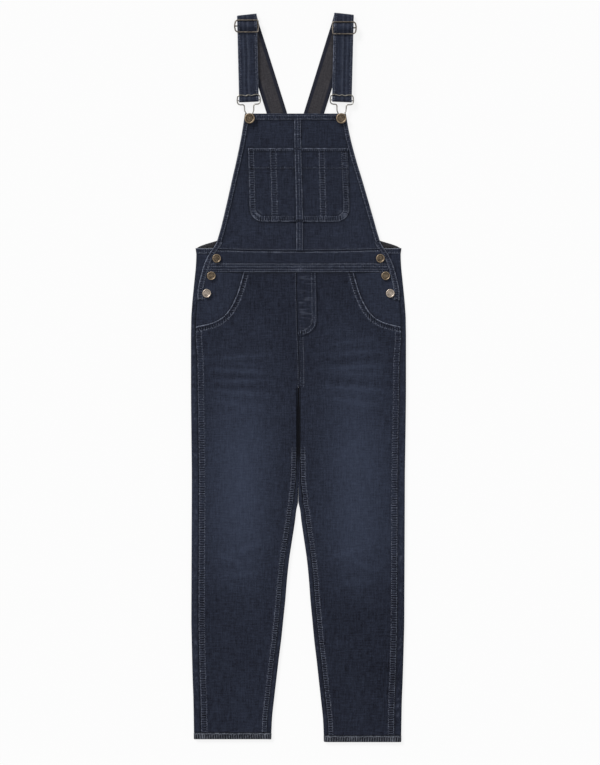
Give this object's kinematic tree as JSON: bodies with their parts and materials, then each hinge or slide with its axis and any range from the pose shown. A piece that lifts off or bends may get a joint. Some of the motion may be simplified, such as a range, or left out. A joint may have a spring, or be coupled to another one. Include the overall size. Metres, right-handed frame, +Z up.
{
  "type": "denim dungarees",
  "caption": "Dark indigo denim dungarees laid flat, with a bib, a bib pocket, wire clips, slide adjusters and brass shank buttons.",
  "frame": {"origin": "on the surface that the garment lies on, under the middle of its outline", "axes": "+X to the viewer's right across the front, +Y toward the shoulder straps, +Z up out of the front"},
  "size_m": [0.4192, 1.4212, 0.0127],
  "materials": {
    "denim": "washed indigo twill, tonal stitching",
    "button_brass": "antique, worn bright at the rims",
    "wire_metal": "antique silver-brass plated wire"
  },
  "bodies": {
    "root": {"back_bib": "denim", "waistband": "denim", "waist_fell": "denim", "bib_left": "denim", "bib_right": "denim", "bib_centre_fell": "denim", "bib_top_hem": "denim", "mock_fly": "denim", "bib_pocket": "denim", "bib_pocket_fell": "denim", "back_panel_left": "denim", "back_panel_right": "denim", "front_panel_left": "denim", "front_panel_right": "denim", "pocket_facing_left": "denim", "pocket_facing_right": "denim", "bib_side_hem_left": "denim", "bib_side_hem_right": "denim", "placket_hem_left": "denim", "placket_hem_right": "denim", "back_waist_edge_left": "denim", "back_waist_edge_right": "denim", "leg_hem_left": "denim", "leg_hem_right": "denim", "strap_left": "denim", "strap_right": "denim", "bib_button_left": "button_brass", "bib_button_right": "button_brass", "side_button_left_1": "button_brass", "side_button_left_2": "button_brass", "side_button_left_3": "button_brass", "side_button_right_1": "button_brass", "side_button_right_2": "button_brass", "side_button_right_3": "button_brass", "slide_left": "wire_metal", "slide_right": "wire_metal", "clip_left": "wire_metal", "clip_right": "wire_metal"}
  },
  "joints": []
}
